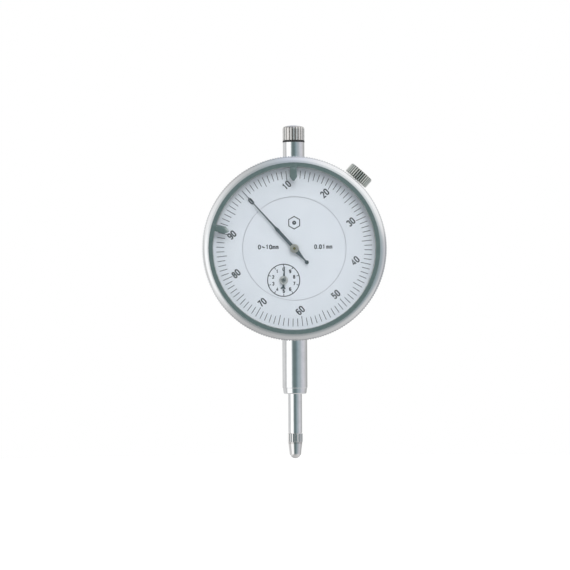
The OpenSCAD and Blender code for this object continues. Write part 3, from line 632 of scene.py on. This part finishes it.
def marker(name, angle, lift):
    """A spring strip: blade over the crystal, step up to the ring and foot in its track.

    The blade curves towards the reader, up to the angle lift at its tip.
    """
    low, high = RING_FRONT - 0.29, RING_FRONT + 0.14
    foot_back = high - 0.42
    curve_r = 24.2
    blade = [21.36, 21.38, 21.42, 21.48, 21.57, 21.8, 22.1, 22.4, 22.7, 22.8, 23.3, 23.8, curve_r]
    rise = math.tan(math.radians(lift)) / 2 / (curve_r - blade[0])
    curve = [(r, low + rise * (curve_r - r) ** 2) for r in blade]
    step = [(25.3, low), (25.66, low), (25.7, high)]
    foot = [(26.3, high), (26.93, high), (26.97, foot_back)]
    path = [Vector(point) for point in curve + step + foot]
    across = [math.sin(math.radians(15 * i)) for i in range(-6, 7)]
    mesh = bmesh.new()
    loops = []
    for i, point in enumerate(path):
        along = (path[min(i + 1, len(path) - 1)] - path[max(i - 1, 0)]).normalized()
        out = Vector((-along.y, along.x))
        half = marker_half_width(point.x)
        bow = BLADE_BOW * half
        top = [point + out * (BLADE_THICKNESS / 2 - bow * u * u) for u in across]
        bottom = [point - out * BLADE_THICKNESS / 2] * 2
        sides = [(half * u, p.x, p.y) for u, p in zip(across, top)]
        sides += [(half * u, p.x, p.y) for u, p in zip((0.97, -0.97), bottom)]
        loops.append([mesh.verts.new(corner) for corner in sides])
    for first, second in zip(loops, loops[1:]):
        for i in range(len(first)):
            j = (i + 1) % len(first)
            mesh.faces.new((first[i], first[j], second[j], second[i]))
    mesh.faces.new(loops[0][::-1])
    mesh.faces.new(loops[-1])
    mesh.transform(dial_frame(DIAL, 0.0) @ Matrix.Rotation(math.radians(-angle), 4, "Z"))
    bmesh.ops.recalc_face_normals(mesh, faces=mesh.faces)
    piece = new_object(name, mesh, FINISHES[RING_NODES])
    piece.data.shade_smooth()
    piece.data.set_sharp_from_angle(angle=SHARP_EDGE)
    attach(piece, name)
    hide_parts("tolerance_" + name)


marker("marker_a", marker_angle("tolerance_marker_a"), 4)
marker("marker_b", marker_angle("tolerance_marker_b"), 12)


# ---------- studio ----------

FLOOR_DROP = 0.04
FLOOR_R = 0.6
DARK = (0.15, 0.2, 0.202)
# What the chrome mirrors level with it, by bearing from the reader towards the right, in degrees
BANDS = [
    (-180, 0.5), (-147, 0.67), (-112, 0.72), (-97, 0.55), (-87, 0.66), (-76, 1.2), (-34, 1.2),
    (-24, (0.34, 0.39, 0.4)), (-13, DARK), (6, DARK), (15, (0.18, 0.25, 0.27)), (25, (0.29, 0.36, 0.39)),
    (34, (0.36, 0.43, 0.46)), (54, (0.43, 0.47, 0.5)), (65, (0.57, 0.59, 0.63)), (88, (0.65, 0.64, 0.68)),
    (118, 0.53), (139, 0.41), (180, 0.5),
]
# What the bezel's rounded edge mirrors above and below that, clockwise round the reader from the top
DOME = [
    (-180, 0.58), (-150, 0.54), (-135, 0.63), (-120, 0.92), (-105, 1.09), (-90, 1.1), (-60, 0.95),
    (-45, 0.75), (-30, 0.61), (-15, (0.53, 0.58, 0.61)), (0, (0.72, 0.76, 0.88)), (20, 1.06), (60, 1.08),
    (75, 0.95), (90, 0.81), (105, 0.76), (120, 0.74), (135, 0.7), (150, 0.65), (180, 0.58),
]
# Darkens the part of the dome that is near the reader
DOME_NEAR_TINT = (0.68, 0.72, 0.73)


def by_angle(tree, first, second, stops):
    """A colour by the angle whose sine and cosine go as the two values, from (degrees, colour)."""
    angle = math_node(tree, "ARCTAN2", first, second)
    turn = math_node(tree, "MULTIPLY_ADD", angle, 0.5 / math.pi, 0.5)
    return ramp(tree, turn, [((degrees + 180) / 360, colour) for degrees, colour in stops])


def smooth_step(tree, value, low, high):
    node = add(tree, "ShaderNodeMapRange", {"interpolation_type": "SMOOTHSTEP"},
               Value=value, From_Min=low, From_Max=high)
    return node.outputs["Result"]


def studio_world():
    """A tent of white card round the object, with a dark gap that the camera looks through."""
    world = bpy.data.worlds.new("studio")
    bpy.context.scene.world = world
    world.use_nodes = True
    tree = world.node_tree
    direction = add(tree, "ShaderNodeTexCoord").outputs["Generated"]
    axes = add(tree, "ShaderNodeSeparateXYZ", Vector=direction).outputs
    forward = math_node(tree, "MULTIPLY", axes["Y"], -1.0)
    bands = by_angle(tree, axes["X"], forward, BANDS)
    dome = by_angle(tree, axes["X"], axes["Z"], DOME)
    near = vector_node(tree, "MULTIPLY", dome, DOME_NEAR_TINT)[0]
    dome = mix_colour(tree, smooth_step(tree, forward, 0.62, 0.8), dome, near)
    dome = mix_colour(tree, smooth_step(tree, forward, 0.95, 0.985), dome, DARK)
    above = smooth_step(tree, axes["Z"], 0.08, 0.2)
    below = smooth_step(tree, axes["Z"], -0.3, -0.5)
    colour = mix_colour(tree, math_node(tree, "ADD", above, below), bands, dome)
    seen = add(tree, "ShaderNodeLightPath").outputs["Is Camera Ray"]
    shown = mix_colour(tree, seen, colour, (1.0, 1.0, 1.0))
    tree.links.new(shown, tree.nodes["Background"].inputs["Color"])


def floor():
    mesh = bmesh.new()
    bmesh.ops.create_circle(mesh, cap_ends=True, segments=96, radius=FLOOR_R)
    material, tree, shader = new_material("floor_paper")
    piece = new_object("floor", mesh, material)
    piece.location.z = CAD_BOX[0].z - FLOOR_DROP
    piece.visible_glossy = False
    grain = noise(tree, add(tree, "ShaderNodeTexCoord").outputs["Object"], 400.0, 3.0)
    tree.links.new(between(tree, grain, 0.84, 0.88), shader.inputs["Base Color"])
    shader.inputs["Roughness"].default_value = 0.9
    shader.inputs["Emission Color"].default_value = (1.0, 1.0, 1.0, 1.0)
    seen = add(tree, "ShaderNodeLightPath").outputs["Is Camera Ray"]
    tree.links.new(math_node(tree, "MULTIPLY", seen, 0.45), shader.inputs["Emission Strength"])


def soft_lamp(name, place, target, size, power):
    """A square soft box that lights matt surfaces and isn't mirrored in the chrome."""
    lamp = bpy.data.lights.new(name, "AREA")
    lamp.size = size
    lamp.energy = power
    holder = bpy.data.objects.new(name, lamp)
    bpy.context.scene.collection.objects.link(holder)
    holder.location = place
    holder.rotation_euler = (Vector(target) - Vector(place)).to_track_quat("-Z", "Y").to_euler()
    holder.visible_glossy = False


studio_world()
floor()
soft_lamp("front_box", (0.15, -0.9, 0.55), DIAL, size=0.5, power=3.2)


# ---------- camera ----------

CAMERA_DISTANCE = 0.8
CAMERA_X = -0.00303
CAMERA_DROP = 0.01157  # below the dial's centre
CAMERA_ROLL = 0.34
FRAME_WIDTH = 0.1833
SENSOR = 36.0


def camera():
    data = bpy.data.cameras.new("camera")
    data.sensor_width = SENSOR
    data.lens = SENSOR * CAMERA_DISTANCE / FRAME_WIDTH
    data.clip_start = 0.05
    data.clip_end = 20.0
    holder = bpy.data.objects.new("camera", data)
    bpy.context.scene.collection.objects.link(holder)
    holder.location = (CAMERA_X, -CAMERA_DISTANCE, DIAL.z - CAMERA_DROP)
    holder.rotation_euler = (math.radians(90), math.radians(CAMERA_ROLL), 0)
    bpy.context.scene.camera = holder


camera()
bpy.context.scene.view_settings.view_transform = "Standard"
